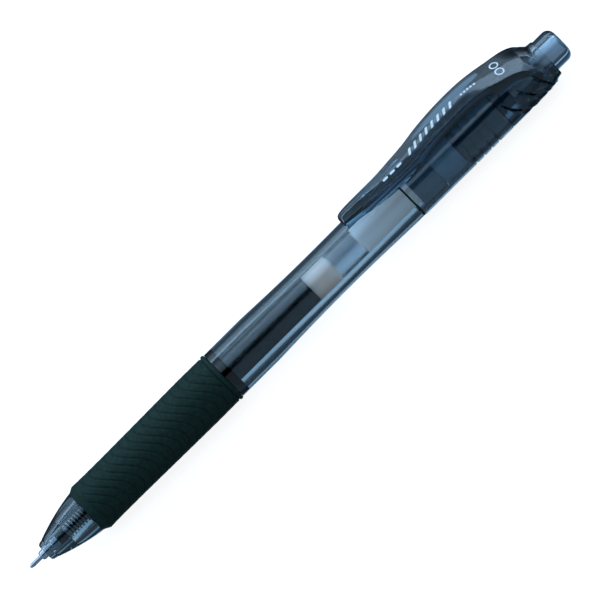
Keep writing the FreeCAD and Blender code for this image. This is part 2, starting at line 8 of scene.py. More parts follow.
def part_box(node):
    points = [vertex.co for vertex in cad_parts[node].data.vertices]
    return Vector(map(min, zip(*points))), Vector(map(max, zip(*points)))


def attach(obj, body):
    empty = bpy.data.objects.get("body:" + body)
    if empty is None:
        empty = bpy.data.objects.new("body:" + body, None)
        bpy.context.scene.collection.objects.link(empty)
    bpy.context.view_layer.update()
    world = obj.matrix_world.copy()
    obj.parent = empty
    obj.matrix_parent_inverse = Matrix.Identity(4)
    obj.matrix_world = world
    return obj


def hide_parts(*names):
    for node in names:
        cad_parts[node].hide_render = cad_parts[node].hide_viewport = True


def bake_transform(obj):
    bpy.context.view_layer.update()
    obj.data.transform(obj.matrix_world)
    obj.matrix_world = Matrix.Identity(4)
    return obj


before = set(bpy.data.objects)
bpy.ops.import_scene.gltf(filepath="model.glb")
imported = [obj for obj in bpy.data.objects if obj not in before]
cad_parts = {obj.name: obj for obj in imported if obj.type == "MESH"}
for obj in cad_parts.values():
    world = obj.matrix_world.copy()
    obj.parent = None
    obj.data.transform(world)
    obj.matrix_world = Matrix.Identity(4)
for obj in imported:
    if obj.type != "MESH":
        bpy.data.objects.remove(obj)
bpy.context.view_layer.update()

bl_info = {
    "name": "Gel pen builder",
    "version": (1, 0, 0),
    "blender": (4, 5, 0),
    "location": "3D View > Sidebar > Gel Pen",
    "description": "Builds the looks of a clear retractable gel pen round its packed CAD frame",
    "category": "Object",
}

MM = 0.001

# The pen's own frame: x in millimetres from the writing ball along the axis, radii from the axis.
TIP_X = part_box("tip_ball")[0].x
AXIS_Z = sum(corner.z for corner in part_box("knock_button")) / 2


def along(node, end):
    """Where a CAD node starts (0) or ends (1) along the pen, in millimetres from the writing ball."""
    return (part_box(node)[end].x - TIP_X) / MM


def radius(node):
    """A CAD node's outer radius about the pen's axis, in millimetres."""
    return (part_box(node)[1].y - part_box(node)[0].y) / 2 / MM


def place(x, y, z):
    """A point of the pen's own frame, in millimetres, as a point of the scene, in metres."""
    return Vector((TIP_X + x * MM, y * MM, AXIS_Z + z * MM))


def turned(x, r, angle):
    """A point at x and radius r, turned by this angle from the clip towards the viewer's side."""
    return place(x, -r * math.sin(angle), r * math.cos(angle))


def full_turn(steps):
    """Evenly spaced angles once round."""
    return [2 * math.pi * step / steps for step in range(steps)]


def clamped(value):
    """The value kept between 0 and 1."""
    return min(max(value, 0), 1)


def linear(hex_colour):
    """Linear red, green and blue of an sRGB hex colour."""
    channels = [int(hex_colour[i:i + 2], 16) / 255 for i in (1, 3, 5)]
    return [c / 12.92 if c <= 0.04045 else ((c + 0.055) / 1.055) ** 2.4 for c in channels]


# ---- settings that a user would change ---------------------------------------------------------------


def length(name, description, millimetres):
    """A length setting, given in millimetres."""
    return bpy.props.FloatProperty(
        name=name, description=description, default=millimetres * MM, unit="LENGTH", precision=5
    )


def colour(name, description, hex_colour):
    """A colour setting, given as sRGB hex."""
    return bpy.props.FloatVectorProperty(
        name=name, description=description, default=linear(hex_colour), subtype="COLOR", min=0, max=1
    )


class PenSizes(bpy.types.PropertyGroup):
    """Sizes that the frame leaves open."""

    groove_pitch: length("Groove pitch", "Distance between the grip's grooves", 2.03)
    groove_depth: length("Groove depth", "How deep the grip's grooves are", 0.2)
    groove_width: length("Groove width", "How wide the grip's grooves are", 0.42)
    groove_wave: length("Groove wave", "How far a groove swings to each side of its middle", 2.4)
    bore: length("Barrel bore", "Radius of the barrel's bore behind the grip", 4.08)
    refill_bore: length("Refill bore", "Radius of the barrel's bore under the grip", 3.3)
    spring_bore: length("Spring bore", "Radius of the spring's chamber", 2.8)
    tip_chamber: length("Tip chamber", "Radius of the bore round the refill's steel tip", 1.45)
    tip_bore: length("Tip bore", "Radius of the hole that the writing tip passes", 1.08)
    clip_crown: length("Clip crown", "How far the clip's top rises between its edges", 0.32)
    step_depth: length("Step depth", "Depth of the cap's three sloped steps", 0.8)
    spring_wire: length("Spring wire", "Radius of the return spring's wire", 0.15)
    spring_pitch: length("Spring pitch", "Distance between the return spring's open coils", 0.718)


class PenColours(bpy.types.PropertyGroup):
    """Colours of the pen's materials."""

    smoke: colour("Smoke", "Tint of the clear front barrel", "#739ba5")
    rear_smoke: colour("Rear smoke", "Tint of the clear rear barrel", "#7199a8")
    grip: colour("Grip", "Rubber of the grip", "#1d302a")
    cap: colour("Cap", "Tint of the clear cap and clip", "#7aa2b2")
    button: colour("Button", "Tint of the push button", "#8cb4c4")
    core: colour("Core", "Plunger inside the button", "#a9bccb")
    works: colour("Works", "Guide and rotor", "#88a8bc")
    steel: colour("Steel", "Needle, tip and springs", "#b9bdc4")
    ink: colour("Ink", "Gel ink", "#06090c")
    grease: colour("Grease", "Follower behind the ink", "#f4e4d8")
    tail: colour("Tail", "Frosted tail of the refill", "#d2dce4")
    tube: colour("Tube", "Clear refill tube", "#e4e6f2")
    holder: colour("Holder", "Tip holder", "#0a0d10")
    marks: colour("Marks", "Printed marks", "#f2f5f8")


def in_mm(setting):
    """A length setting as millimetres."""
    return getattr(bpy.context.scene.pen_sizes, setting) / MM


# ---- meshes ------------------------------------------------------------------------------------------


def finish_mesh(name, mesh_data, material, sharp_degrees=38):
    """Turn a bmesh into a smooth object with crisp edges where it bends sharply."""
    bmesh.ops.recalc_face_normals(mesh_data, faces=mesh_data.faces)
    for face in mesh_data.faces:
        face.smooth = True
    for edge in mesh_data.edges:
        if len(edge.link_faces) == 2:
            edge.smooth = edge.calc_face_angle(0) < math.radians(sharp_degrees)
    mesh = bpy.data.meshes.new(name)
    mesh_data.to_mesh(mesh)
    mesh_data.free()
    piece = bpy.data.objects.new(name, mesh)
    bpy.context.scene.collection.objects.link(piece)
    mesh.materials.append(material)
    return piece


def softened(corners, reach, steps=3):
    """A closed outline with each corner rounded by up to reach, as more points."""
    outline = []
    for index, corner in enumerate(corners):
        here = Vector(corner)
        before = Vector(corners[index - 1]) - here
        after = Vector(corners[(index + 1) % len(corners)]) - here
        if here.y < 1e-9:
            outline.append(here)
            continue
        cut = min(reach, before.length * 0.45, after.length * 0.45)
        start = here + before.normalized() * cut
        end = here + after.normalized() * cut
        for step in range(steps + 1):
            share = step / steps
            outline.append(start.lerp(here, share).lerp(here.lerp(end, share), share))
    return outline


def curve_through(stations, steps=8):
    """Points of a smooth curve through open stations of any dimension."""
    knots = [Vector(station) for station in stations]
    points = []
    for index in range(len(knots) - 1):
        a, b = knots[index], knots[index + 1]
        before = knots[max(index - 1, 0)]
        after = knots[min(index + 2, len(knots) - 1)]
        for step in range(steps):
            t = step / steps
            points.append(
                0.5 * (2 * a + (b - before) * t + (2 * before - 5 * a + 4 * b - after) * t**2
                       + (3 * a - before - 3 * b + after) * t**3)
            )
    return points + [knots[-1]]


def lathe(name, outline, material, around=128):
    """A closed outline of (x, radius) points, in millimetres, turned about the pen's axis."""
    mesh_data = bmesh.new()
    rings = []
    for x, r in outline:
        if r < 1e-6:
            rings.append([mesh_data.verts.new(place(x, 0, 0))])
            continue
        rings.append([mesh_data.verts.new(turned(x, r, a)) for a in full_turn(around)])
    for index, ring in enumerate(rings):
        join_rings(mesh_data, rings[index - 1], ring)
    return finish_mesh(name, mesh_data, material)


def join_rings(mesh_data, first, second):
    """Faces between two rings of vertices, either of which may be one point on the axis."""
    count = max(len(first), len(second))
    if count == 1:
        return
    for step in range(count):
        following = (step + 1) % count
        loop = [first[step % len(first)]]
        if len(first) > 1:
            loop.append(first[following])
        if len(second) > 1:
            loop.append(second[following])
        loop.append(second[step % len(second)])
        mesh_data.faces.new(loop)


def grid_skin(name, rows, material, closed_ends=True, sharp_degrees=38):
    """A skin over rows of points that all close on themselves, with a face over each end."""
    mesh_data = bmesh.new()
    rings = [[mesh_data.verts.new(point) for point in row] for row in rows]
    for first, second in zip(rings, rings[1:]):
        join_rings(mesh_data, first, second)
    if closed_ends:
        mesh_data.faces.new(rings[0])
        mesh_data.faces.new(rings[-1])
    else:
        join_rings(mesh_data, rings[-1], rings[0])
    return finish_mesh(name, mesh_data, material, sharp_degrees)


def coil(name, path, wire, material, sides=10):
    """A wire of the given radius along a path of points in millimetres, as a closed tube."""
    rows = []
    for index, point in enumerate(path):
        ahead = path[min(index + 1, len(path) - 1)] - path[max(index - 1, 0)]
        out = Vector((0, point.y, point.z)).normalized()
        side = ahead.normalized().cross(out).normalized()
        ring = [point + (out * math.cos(a) + side * math.sin(a)) * wire for a in full_turn(sides)]
        rows.append([place(*corner) for corner in ring])
    return grid_skin(name, rows, material)


def put(piece, body, slot, *nodes):
    """Ride a finished piece on its body, let a clear one cast no shadow, and let it stand for its CAD nodes.
    """
    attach(piece, body)
    piece.visible_shadow = "clear" not in slot
    if nodes:
        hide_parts(*nodes)


def turn(name, outline, finish, around, body, slot, *nodes):
    """Turn a piece about the axis and put it in its place."""
    put(lathe(name, outline, finish_of(finish), around), body, slot, *nodes)


def finish_node(node, finish):
    """Give a CAD node that is kept as it is its own finish."""
    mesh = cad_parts[node].data
    mesh.materials.clear()
    mesh.materials.append(finish_of(finish))


# ---- materials ---------------------------------------------------------------------------------------


def add(tree, kind, settings=(), links=()):
    """Add a node of this kind, set its properties and inputs, and link its inputs."""
    node = tree.nodes.new(kind)
    for name, value in dict(settings).items():
        if isinstance(name, int) or name in node.inputs:
            node.inputs[name].default_value = value
        else:
            setattr(node, name, value)
    for name, output in dict(links).items():
        tree.links.new(output, node.inputs[name])
    return node


def blank_material(name):
    """A new material's node tree with only its output node."""
    material = bpy.data.materials.new(name)
    material.use_nodes = True
    material.node_tree.nodes.clear()
    return material, material.node_tree


def with_alpha(rgb):
    return (*rgb, 1)


def shaded(material, tree, settings, links, volume=None):
    """Give a material its shader, and its volume where light passes through it."""
    ends = {"Surface": add(tree, "ShaderNodeBsdfPrincipled", settings, links).outputs[0]}
    if volume:
        ends["Volume"] = volume.outputs[0]
    add(tree, "ShaderNodeOutputMaterial", links=ends)
    return material


def grain(tree, size_mm, detail=2.0):
    """Fine noise with grains of this size, in the object's own space."""
    where = add(tree, "ShaderNodeTexCoord")
    scale = 1 / (size_mm * MM)
    return add(
        tree, "ShaderNodeTexNoise", {"Scale": scale, "Detail": detail}, {"Vector": where.outputs["Object"]}
    )


def spread(tree, source, low, high, start=0.3, end=0.7):
    """A node's first output, mapped from the range start to end onto the range low to high."""
    settings = {"From Min": start, "From Max": end, "To Min": low, "To Max": high}
    return add(tree, "ShaderNodeMapRange", settings, {"Value": source.outputs[0]}).outputs[0]


def ripple(tree, noise, depth_mm, strength):
    """A bump of this depth from noise."""
    settings = {"Strength": strength, "Distance": depth_mm * MM}
    return add(tree, "ShaderNodeBump", settings, {"Height": noise.outputs[0]}).outputs[0]


def mottled(tree, base, dark, light, size_mm):
    """The base colour, drifting between these shares of it in patches of this size."""
    shades = {"data_type": "RGBA"}
    for socket, share in (("A", dark), ("B", light)):
        shades[socket] = with_alpha([c * share for c in base])
    patches = spread(tree, grain(tree, size_mm), 0.0, 1.0)
    return add(tree, "ShaderNodeMix", shades, {"Factor": patches}).outputs["Result"]


CLEAR_SKIN = (0.94, 0.96, 0.98, 1)
# Painted shade: the dark skin colour painted on the front barrel's root, for the rubber sleeve seen through
# it.
ROOT_PAINTED_SHADE = (0.05, 0.08, 0.09, 1)
# Where the barrel's root lies on the colour ramp: its start under the grip and its end at the bore's step.
ROOT_START, ROOT_END = 0.25, 0.75


def painted_root_shade(tree):
    """Skin colour of the front barrel, with painted shade: its thick root under the grip is painted dark for
    the dark of the rubber sleeve that it carries, and this painted shade shows through the polished step
    behind the grip."""
    where = add(tree, "ShaderNodeTexCoord")
    along_pen = add(tree, "ShaderNodeSeparateXYZ", links={"Vector": where.outputs["Object"]})
    start, end = (place(x, 0, 0).x for x in (GRIP_AT, BORE_STEPS[3]))
    share = spread(tree, along_pen, ROOT_START, ROOT_END, start, end)
    ramp = add(tree, "ShaderNodeValToRGB", links={0: share})
    ramp.color_ramp.interpolation = "CONSTANT"
    stops = ramp.color_ramp.elements
    root = ROOT_START + 0.01
    stops.new(root)
    for stop, (at, skin) in zip(stops, ((0.0, CLEAR_SKIN), (root, ROOT_PAINTED_SHADE), (ROOT_END, CLEAR_SKIN))):
        stop.position = at
        stop.color = skin
    return ramp.outputs[0]


def clear_plastic(name, tint, density, index, low, high, paint_shaded_root=False):
    """Moulded or drawn clear plastic, smoke tinted: glossy skin, colour that deepens with thickness, and a
    faint waviness from the mould that bends highlights a little."""
    material, tree = blank_material(name)
    skin = {
        "Roughness": spread(tree, grain(tree, 3.0), low, high),
        "Normal": ripple(tree, grain(tree, 2.5, 0.0), 0.004, 0.12),
    }
    # Painted shade: the front barrel's root is painted dark where the rubber sleeve shows through it.
    if paint_shaded_root:
        skin["Base Color"] = painted_root_shade(tree)
    volume = add(tree, "ShaderNodeVolumeAbsorption", {"Color": with_alpha(tint), "Density": density})
    settings = {"Base Color": CLEAR_SKIN, "IOR": index, "Transmission Weight": 1.0}
    return shaded(material, tree, settings, skin, volume)


def polycarbonate(name, tint, density, paint_shaded_root=False):
    """Moulded clear polycarbonate: hard, very glossy and sharp to look through."""
    return clear_plastic(name, tint, density, 1.585, 0.015, 0.045, paint_shaded_root)


def polypropylene(name, tint, density):
    """Extruded clear polypropylene: softer and a little milky, so that highlights spread."""
    return clear_plastic(name, tint, density, 1.49, 0.16, 0.26)


def moulded_rubber(name, base):
    """Moulded thermoplastic rubber: matte and dark, with a fine tooth from the blasted mould and a soft
    sheen at grazing angles."""
    material, tree = blank_material(name)
    tooth = grain(tree, 0.12, 3.0)
    return shaded(material, tree, {"IOR": 1.5, "Specular IOR Level": 0.1}, {
        "Base Color": mottled(tree, base, 0.8, 1.25, 0.8),
        "Roughness": spread(tree, tooth, 0.52, 0.68),
        "Normal": ripple(tree, tooth, 0.02, 0.35),
    })


def satin_plastic(name, base, low, high, grain_mm=0.15):
    """Moulded plastic with a satin skin: soft highlights and a very fine grain."""
    material, tree = blank_material(name)
    fine = grain(tree, grain_mm)
    return shaded(material, tree, {"IOR": 1.48}, {
        "Base Color": mottled(tree, base, 0.88, 1.0, 1.5),
        "Roughness": spread(tree, fine, low, high),
        "Normal": ripple(tree, fine, 0.004, 0.2),
    })


def milky(name, base, glow):
    """Cloudy grease, or unpigmented moulded polypropylene or acetal: light soaks in and scatters. A faint
    glow stands for the light that the white table sends up through it."""
    material, tree = blank_material(name)
    fine = grain(tree, 0.2)
    settings = {
        "Base Color": with_alpha(base),
        "IOR": 1.49,
        "Subsurface Weight": 1.0,
        "Subsurface Radius": (1.0, 1.0, 1.0),
        "Subsurface Scale": 3.0 * MM,
        "Emission Color": with_alpha(base),
        "Emission Strength": glow,
    }
    links = {"Roughness": spread(tree, fine, 0.32, 0.5), "Normal": ripple(tree, fine, 0.004, 0.2)}
    return shaded(material, tree, settings, links)


def polished_steel(name, base, low, high):
    """Turned and polished stainless steel: bright, with fine turning marks round the axis."""
    material, tree = blank_material(name)
    where = add(tree, "ShaderNodeTexCoord")
    fine, long = 1 / (0.05 * MM), 1 / (3 * MM)
    stretch = add(
        tree, "ShaderNodeMapping", {"Scale": (fine, long, long)}, {"Vector": where.outputs["Object"]}
    )
    marks = add(tree, "ShaderNodeTexNoise", {"Scale": 1.0, "Detail": 1.0}, {"Vector": stretch.outputs[0]})
    return shaded(material, tree, {"Base Color": with_alpha(base), "Metallic": 1.0}, {
        "Roughness": spread(tree, marks, low, high),
        "Normal": ripple(tree, marks, 0.002, 0.15),
    })


def wet_ink(name, base):
    """Black gel ink against its tube: dense, wet and smooth, slightly uneven in tone."""
    material, tree = blank_material(name)
    return shaded(material, tree, {"IOR": 1.38}, {
        "Base Color": mottled(tree, base, 1.0, 1.6, 1.8),
        "Roughness": spread(tree, grain(tree, 2.0), 0.1, 0.2),
    })


def pad_print(name, base):
    """Pad-printed white ink: thin, matte and very slightly patchy."""
    return satin_plastic(name, base, 0.45, 0.6, 0.08)


# How each material is made: its maker, the colour setting that tints it, and the maker's other values.
RECIPES = {
    # The front barrel's last value paints shade on its root under the grip.
    "front_clear_polycarbonate": (polycarbonate, "smoke", 420.0, True),
    "rear_clear_polycarbonate": (polycarbonate, "rear_smoke", 560.0),
    "button_clear_polycarbonate": (polycarbonate, "button", 260.0),
    "tube_clear_polypropylene": (polypropylene, "tube", 200.0),
    "grip_moulded_rubber": (moulded_rubber, "grip"),
    "cap_clear_polycarbonate": (polycarbonate, "cap", 1050.0),
    "plunger_natural_acetal": (milky, "core", 0.2),
    "works_satin_acetal": (satin_plastic, "works", 0.3, 0.45),
    "holder_satin_polypropylene": (satin_plastic, "holder", 0.25, 0.4),
    "steel_turned_stainless": (polished_steel, "steel", 0.12, 0.28),
    "wire_drawn_stainless": (polished_steel, "steel", 0.2, 0.35),
    "gel_ink": (wet_ink, "ink"),
    "grease_follower": (milky, "grease", 0.12),
    "tail_frosted_polypropylene": (milky, "tail", 0.2),
    "white_pad_print": (pad_print, "marks"),
}
MATERIALS = {}


def finish_of(name):
    """The named material, made once."""
    if name not in MATERIALS:
        maker, tint, *values = RECIPES[name]
        MATERIALS[name] = maker(name, getattr(bpy.context.scene.pen_colours, tint), *values)
    return MATERIALS[name]


# ---- shapes that more than one piece needs -----------------------------------------------------------


def arc_points(start, end, sagitta, steps=12):
    """Points of a shallow arc from start towards end that bows outwards by the sagitta (inwards if < 0)."""
    points = []
    for step in range(steps):
        share = step / steps
        x = start[0] + (end[0] - start[0]) * share
        r = start[1] + (end[1] - start[1]) * share + sagitta * 4 * share * (1 - share)
        points.append((x, r))
    return points


def between(stations, x):
    """The value at x on straight lines through (x, value) stations."""
    for (x0, r0), (x1, r1) in zip(stations, stations[1:]):
        if x <= x1:
            return r0 + (r1 - r0) * max(x - x0, 0) / (x1 - x0)
    return stations[-1][1]


# Places along the pen (x) and radii, in millimetres, from the frame wherever it gives them.
NOSE = (4.14, 1.85)
GRIP_AT = along("grip_sleeve", 0)
GRIP_END = along("grip_sleeve", 1)
CONE_RADIUS = 4.90
SEAT_RADIUS = 4.45
HOLD = (63.1, 5.53)
WAIST = ((66.4, 5.42), (94.0, 5.27))
SEAM_AT = along("seam_ring", 0)
SEAM_RADIUS = radius("seam_ring")
NECK_RADIUS = 4.72
NECK_END = along("front_barrel", 1)
BORE_STEPS = (5.25, 9.88, 23.0, 54.9)
REAR_RADIUS = radius("rear_barrel")
CAP_AT = along("rear_barrel", 1)
CAP_END = along("end_cap", 1)
BUTTON_RADIUS = 3.72
RING_GROOVE_AT, RING_GROOVE_PITCH = 117.6, 2.04


class PEN_OT_front_barrel(bpy.types.Operator):
    """Build the clear front barrel with its nose cone, stepped bore and neck"""

    bl_idname = "pen.front_barrel"
    bl_label = "Front barrel"

    def execute(self, context):
        outer = [(NOSE[0], NOSE[1] - 0.1), (NOSE[0] + 0.05, NOSE[1]), (NOSE[0] + 0.4, NOSE[1] + 0.26)]
        outer += [(5.2, 2.27), (5.36, 2.27), (5.45, 2.36)]
        outer += arc_points((5.6, 2.42), (GRIP_AT, CONE_RADIUS), 0.28)
        outer += [(GRIP_AT, CONE_RADIUS - 0.02), (GRIP_AT + 0.02, SEAT_RADIUS), (GRIP_END, SEAT_RADIUS)]
        outer += [(GRIP_END + 0.02, HOLD[1] - 0.1), (GRIP_END + 0.12, HOLD[1]), HOLD]
        outer += arc_points(WAIST[0], WAIST[1], -0.225, 24)
        outer += arc_points(WAIST[1], (SEAM_AT - 2.0, SEAM_RADIUS), 0.0, 4)
        outer += [(SEAM_AT - 2.0, SEAM_RADIUS), (SEAM_AT - 0.1, SEAM_RADIUS), (SEAM_AT, SEAM_RADIUS - 0.08)]
        outer += [(SEAM_AT, NECK_RADIUS), (NECK_END - 0.2, NECK_RADIUS), (NECK_END, NECK_RADIUS - 0.2)]
        bore, refill, spring = in_mm("bore"), in_mm("refill_bore"), in_mm("spring_bore")
        chamber, tip = in_mm("tip_chamber"), in_mm("tip_bore")
        chamber_at, spring_at, refill_at, bore_at = BORE_STEPS
        inner = [
            (NECK_END, bore), (bore_at + 0.15, bore), (bore_at, bore - 0.15), (bore_at, refill),
            (refill_at + 0.4, refill), (refill_at, spring), (spring_at + 0.1, spring),
            (spring_at, spring - 0.1), (spring_at, chamber), (chamber_at + 0.1, chamber),
            (chamber_at, chamber - 0.1), (chamber_at, tip), (NOSE[0] + 0.15, tip), (NOSE[0], tip + 0.12),
        ]
        turn("front_barrel_shell", outer + inner, "front_clear_polycarbonate", 160,
             "barrel", "smoke_clear", "front_barrel")
        return {"FINISHED"}


class PEN_OT_rear_barrel(bpy.types.Operator):
    """Build the clear rear barrel with its four ring grooves, and the ring at the seam"""

    bl_idname = "pen.rear_barrel"
    bl_label = "Rear barrel and seam ring"

    def execute(self, context):
        start = along("rear_barrel", 0)
        bore = 4.80
        outer = [(start, REAR_RADIUS - 0.1), (start + 0.1, REAR_RADIUS - 0.02), (start + 0.3, REAR_RADIUS)]
        for number in range(4):
            middle = RING_GROOVE_AT + RING_GROOVE_PITCH * number
            for shift, depth in ((-0.3, 0), (-0.2, 0.03), (-0.08, 0.2), (0.08, 0.2), (0.2, 0.03), (0.3, 0)):
                outer.append((middle + shift, REAR_RADIUS - depth))
        outer += [(CAP_AT - 0.3, REAR_RADIUS), (CAP_AT - 0.08, REAR_RADIUS - 0.08)]
        outer.append((CAP_AT, REAR_RADIUS - 0.25))
        inner = [(CAP_AT, bore), (start, bore)]
        turn("rear_barrel_shell", outer + inner, "rear_clear_polycarbonate", 160,
             "barrel", "smoke_clear_rear", "rear_barrel")

        end = along("seam_ring", 1)
        inside = NECK_RADIUS + 0.03
        ring = [(SEAM_AT, inside), (end, inside), (end, SEAM_RADIUS), (SEAM_AT, SEAM_RADIUS)]
        turn("seam_ring_band", softened(ring, 0.12), "grip_moulded_rubber", 128,
             "barrel", "seam_black", "seam_ring")
        return {"FINISHED"}


GRIP_PROFILE = (
    (0.0, 4.86), (0.25, 4.96), (1.25, 5.5), (4.5, 5.43), (10.0, 5.43), (18.0, 5.51), (24.0, 5.58),
    (31.0, 5.64), (36.7, 5.6),
)
# The grooves swing twice on their way round the grip: degrees from the clip to where the swing starts.
WAVE_TURN = 32.5


def groove_depth(x, angle):
    """How deep the wave grooves cut at x and at an angle from the clip, towards the viewer's side."""
    wave = in_mm("groove_wave") * math.sin(2 * (angle - math.radians(WAVE_TURN)))
    pitch = in_mm("groove_pitch")
    phase = ((x - wave) / pitch) % 1.0
    distance = abs(phase - 0.5) * pitch
    half = in_mm("groove_width") / 2
    fade = clamped((x - GRIP_AT - 1.6) / 0.5) * clamped((GRIP_END - 1.35 - x) / 0.3)
    notch = max(0.0, 1 - distance / half) ** 0.8 * in_mm("groove_depth")
    crown = 0.03 * (1 - distance / (pitch / 2)) ** 2
    return (notch + crown) * fade


class PEN_OT_grip(bpy.types.Operator):
    """Build the rubber grip with its wave grooves and rear bead"""

    bl_idname = "pen.grip"
    bl_label = "Grip"

    def execute(self, context):
        around = 240
        angles = full_turn(around)
        body_end = GRIP_END - 1.15
        lines = 380
        inner = SEAT_RADIUS + 0.04
        rows = [[(GRIP_AT, inner)] * around, [(GRIP_AT, 4.8)] * around]
        for line in range(lines + 1):
            x = GRIP_AT + (body_end - GRIP_AT) * line / lines
            base = between(GRIP_PROFILE, x - GRIP_AT)
            rows.append([(x, base - groove_depth(x, angle)) for angle in angles])
        bead = radius("grip_sleeve")
        tail = [(body_end + 0.08, 5.42), (body_end + 0.22, 5.40), (body_end + 0.30, 5.58)]
        tail += [(body_end + 0.42, bead - 0.05), (body_end + 0.6, bead), (body_end + 0.8, bead)]
        tail += [(GRIP_END - 0.18, bead - 0.06), (GRIP_END - 0.04, bead - 0.22), (GRIP_END, inner)]
        rows += [[point] * around for point in tail]
        skin = [[turned(x, r, angle) for (x, r), angle in zip(row, angles)] for row in rows]
        piece = grid_skin("grip_wave_sleeve", skin, finish_of("grip_moulded_rubber"), False, 60)
        put(piece, "barrel", "grip_rubber", "grip_sleeve")
        return {"FINISHED"}


# The clip and its root: x, half width, height of the top's edges, height of the underside's edges.
CLIP_STATIONS = (
    (90.42, 0.95, 7.45, 6.95),
    (90.62, 1.28, 7.85, 6.70),
    (91.1, 1.52, 8.12, 6.45),
    (92.4, 1.68, 8.27, 6.18),
    (94.5, 1.82, 8.22, 5.80),
    (97.6, 2.02, 8.02, 5.28),
    (101.5, 2.38, 7.68, 5.02),
    (106.0, 2.74, 7.74, 5.14),
    (109.3, 2.85, 8.02, 5.60),
    (113.2, 2.97, 8.70, 6.48),
    (117.1, 3.05, 9.14, 7.08),
    (121.0, 3.07, 9.33, 7.28),
    (124.6, 3.08, 9.26, 7.15),
    (127.3, 3.16, 8.88, 6.75),
    (129.2, 3.28, 8.38, 6.10),
)
HOOD_STATIONS = (
    (129.3, 3.29, 8.36, 4.6),
    (132.0, 3.54, 7.42, 3.2),
    (135.1, 3.86, 6.32, 2.4),
    (136.9, 4.25, 5.15, 1.4),
    (138.2, 4.70, 3.68, 0.4),
    (139.0, 4.75, 2.55, 0.0),
    (139.6, 4.35, 2.2, 0.0),
    (139.95, 3.95, 1.6, 0.0),
)


def top_height(half_width, edge, crown, y):
    """Height of the top at y: a soft ridge along the middle that falls evenly to both edges."""
    return edge + crown * (1 - abs(y / half_width) ** 1.25)


def section(x, half_width, edge, under, crown, hollow, corner=0.34):
    """A closed cross-section of the clip: crowned top, straight flanks, and an underside that may be
    hollowed to clear the barrel."""
    corner = min(corner, half_width * 0.45, (edge - under) * 0.4)
    points = []
    top_steps, flank_steps, bend_steps = 18, 4, 5
    reach = half_width - corner
    for step in range(top_steps + 1):
        y = -reach + 2 * reach * step / top_steps
        points.append((y, top_height(half_width, edge, crown, y)))
    edge_top = points[-1][1] - corner
    for step in range(1, bend_steps + 1):
        a = math.pi / 2 * step / bend_steps
        points.append((reach + corner * math.sin(a), edge_top + corner * math.cos(a)))
    for step in range(1, flank_steps + 1):
        share = step / flank_steps
        points.append((half_width, edge_top + (under + corner - edge_top) * share))
    for step in range(1, bend_steps + 1):
        a = math.pi / 2 * step / bend_steps
        points.append((reach + corner * math.cos(a), under + corner - corner * math.sin(a)))
    for step in range(1, top_steps):
        y = reach - 2 * reach * step / top_steps
        clear = math.sqrt(max(hollow**2 - y**2, 0)) if hollow else under
        points.append((y, max(under, clear)))
    half = points[top_steps + 1:top_steps + 1 + 2 * bend_steps + flank_steps]
    points += [(-y, z) for y, z in reversed(half)]
    return [place(x, y, z) for y, z in points]


def clip_rows():
    """Cross-sections of the arm from its free end to the root, then of the hood to the button."""
    crown = in_mm("clip_crown")
    rows = []
    for station in curve_through(CLIP_STATIONS, 6):
        x, half_width, edge, under = station
        nose = min(1.0, 0.35 + (x - CLIP_STATIONS[0][0]) / 1.6)
        rows.append(section(x, half_width, edge, under, crown * nose, REAR_RADIUS + 0.14))
    for station in curve_through(HOOD_STATIONS, 6):
        x, half_width, edge, under = station
        wrap = clamped((x - 134.0) / 6.0)
        dome = crown * (1 - wrap) + max(half_width**2 + edge**2, 0) ** 0.5 * wrap - edge * wrap
        rows.append(section(x, half_width, edge, under, max(dome, crown), 0))
    return rows


def clip_top(x, y):
    """Height of the clip's top at x and y, for what is printed on it."""
    stations = curve_through(CLIP_STATIONS + HOOD_STATIONS, 6)
    for first, second in zip(stations, stations[1:]):
        if first[0] <= x <= second[0]:
            share = (x - first[0]) / (second[0] - first[0])
            here = first.lerp(second, share)
            return top_height(here[1], here[2], in_mm("clip_crown"), y)
    raise ValueError(f"the clip has no top at x = {x}")


# The spigot is drawn apart from the cap by this gap, as a piece of its own on the barrel.
SPIGOT_GAP = 0.03
# Room for the push button, cut out of the hood before it joins the cap: x, radius. It ends inside the
# cap's own wall, so that the cap's bore stays as it is.
BORE_PLUG = ((126.0, 0.0), (126.0, 4.5), (138.7, 4.5), (138.7, 3.92), (143.0, 3.92), (143.0, 0.0))
STEP_STARTS = ((128.4, 0.56), (132.55, 0.99), (136.6, 1.34))
RIM_AT = 141.2


def step_edge(number, angle):
    """Where one of the cap's sloped steps starts at this angle from the clip, along the pen."""
    start, pull = STEP_STARTS[number]
    turned = math.degrees(abs(angle))
    swing = max(turned - 45, 0) / 88
    return RIM_AT - (RIM_AT - start) * math.exp(-pull * swing**1.6)


# The cap's radius along its underside and along the clip's side: x, radius.
CAP_UNDER = (
    (CAP_AT, REAR_RADIUS - 0.02), (136.0, 5.5), (138.2, 5.34), (139.8, 5.22), (140.5, 4.85), (RIM_AT, 4.72),
)
CAP_OVER = (
    (CAP_AT, REAR_RADIUS - 0.02), (138.0, 5.5), (138.8, 5.3), (139.4, 4.9), (139.9, 4.35), (140.2, 4.08),
    (RIM_AT, 4.0),
)
CAP_BORE = 4.06
SPIGOT_AT, SPIGOT_RADIUS = 116.35, 4.74


def cap_radius(x, angle):
    """The cap's plain outer radius: it falls to a thin collar on the clip's side and stays stout below."""
    under = clamped((abs(math.degrees(angle)) - 50) / 70)
    under *= under * (3 - 2 * under)
    return between(CAP_OVER, x) * (1 - under) + between(CAP_UNDER, x) * under


def step_relief(share):
    """Height of a step's surface, from its raised front lip (share 0) to the fall before the next one."""
    if share < 0.07:
        return -1 + 1.12 * (share / 0.07) ** 0.7
    if share < 0.4:
        return 0.12 * (0.4 - share) / 0.33
    if share < 0.7:
        return 0.0
    return -(((share - 0.7) / 0.3) ** 2)


